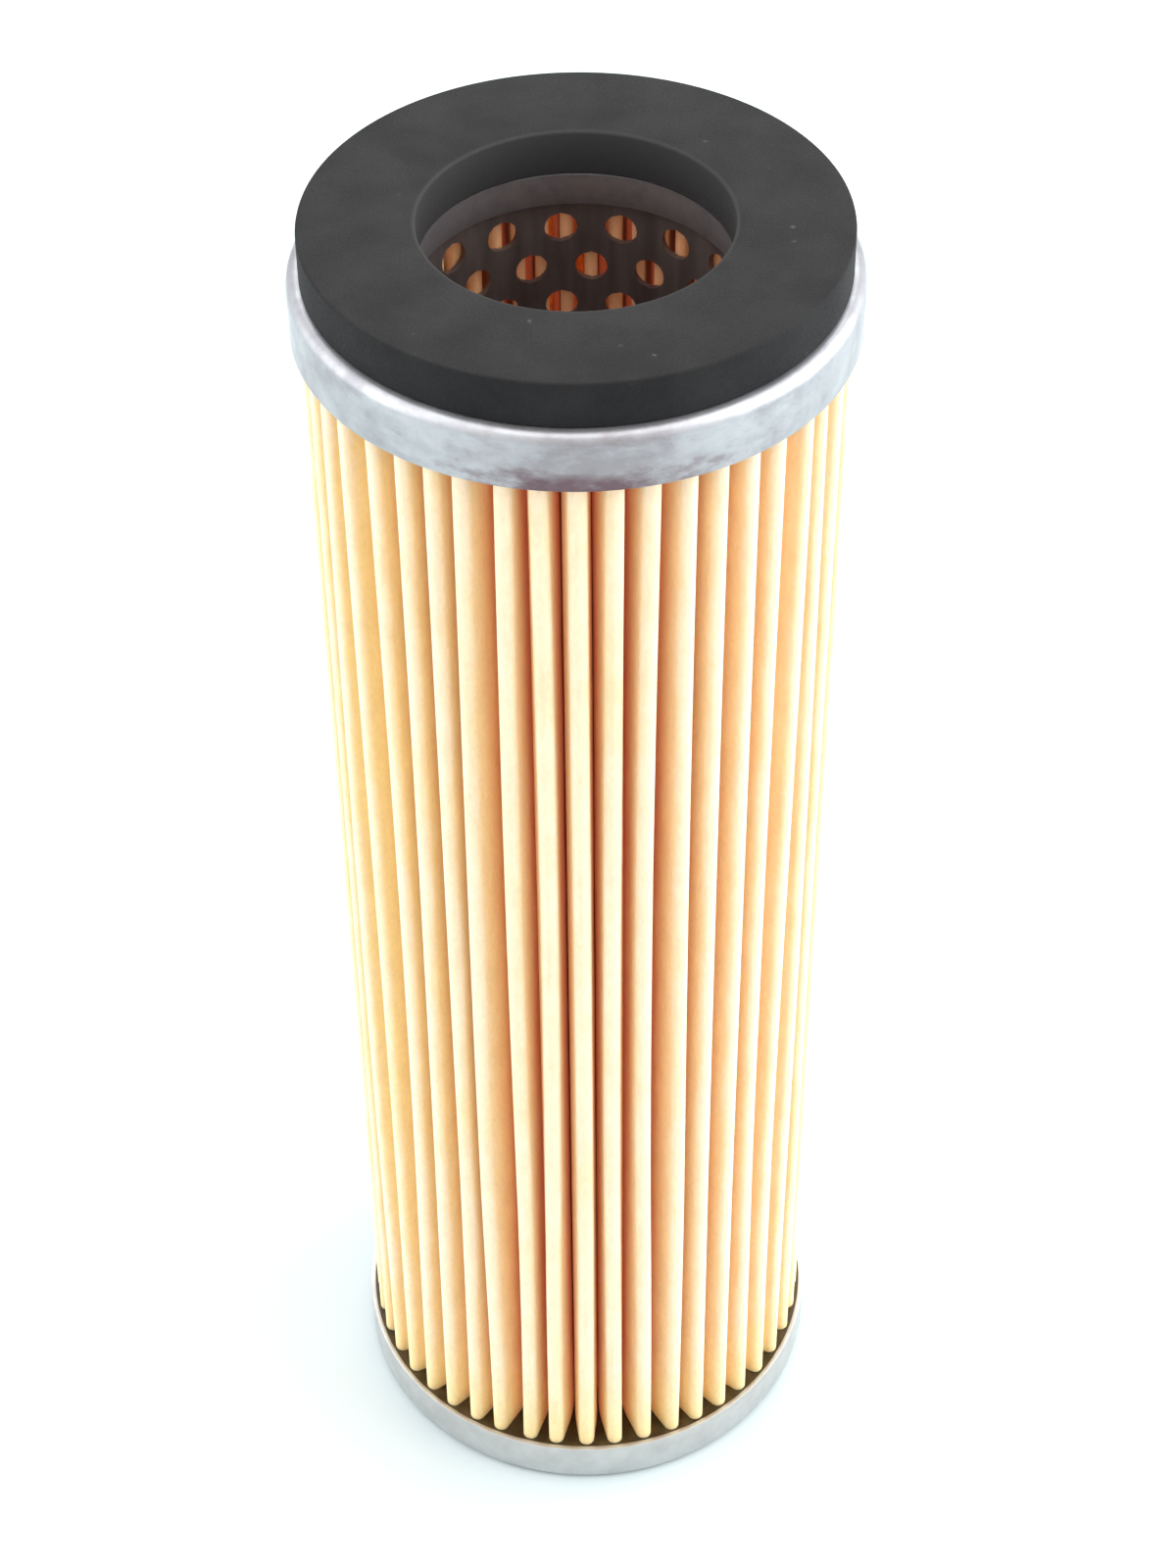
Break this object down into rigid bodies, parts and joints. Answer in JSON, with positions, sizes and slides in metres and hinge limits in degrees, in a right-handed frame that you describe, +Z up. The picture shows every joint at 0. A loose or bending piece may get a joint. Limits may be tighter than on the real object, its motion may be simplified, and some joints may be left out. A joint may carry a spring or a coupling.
{
  "type": "pleated filter element",
  "caption": "Tall round filter element: pleated paper round a perforated steel tube, between plated end caps, with a thick flat rubber gasket on the open end.",
  "frame": {"origin": "centre of the bottom cap's underside", "axes": "+Z up the axis, out of the open end through the gasket; X and Y are alike"},
  "size_m": [0.052, 0.052, 0.1551],
  "materials": {
    "black_rubber": "matte moulded rubber with a little dust",
    "zinc_plate": "bright zinc plating on pressed steel, slightly cloudy",
    "sealing_compound": "cured dark adhesive, satin",
    "tube_steel": "dull untreated sheet steel",
    "filter_paper": "resin-treated filter paper, matte and slightly fibrous"
  },
  "bodies": {
    "root": {"gasket": "black_rubber", "top_end_cap": "zinc_plate", "bottom_end_cap": "zinc_plate", "top_compound": "sealing_compound", "bottom_compound": "sealing_compound", "centre_tube": "tube_steel", "pleated_media": "filter_paper"}
  },
  "joints": []
}
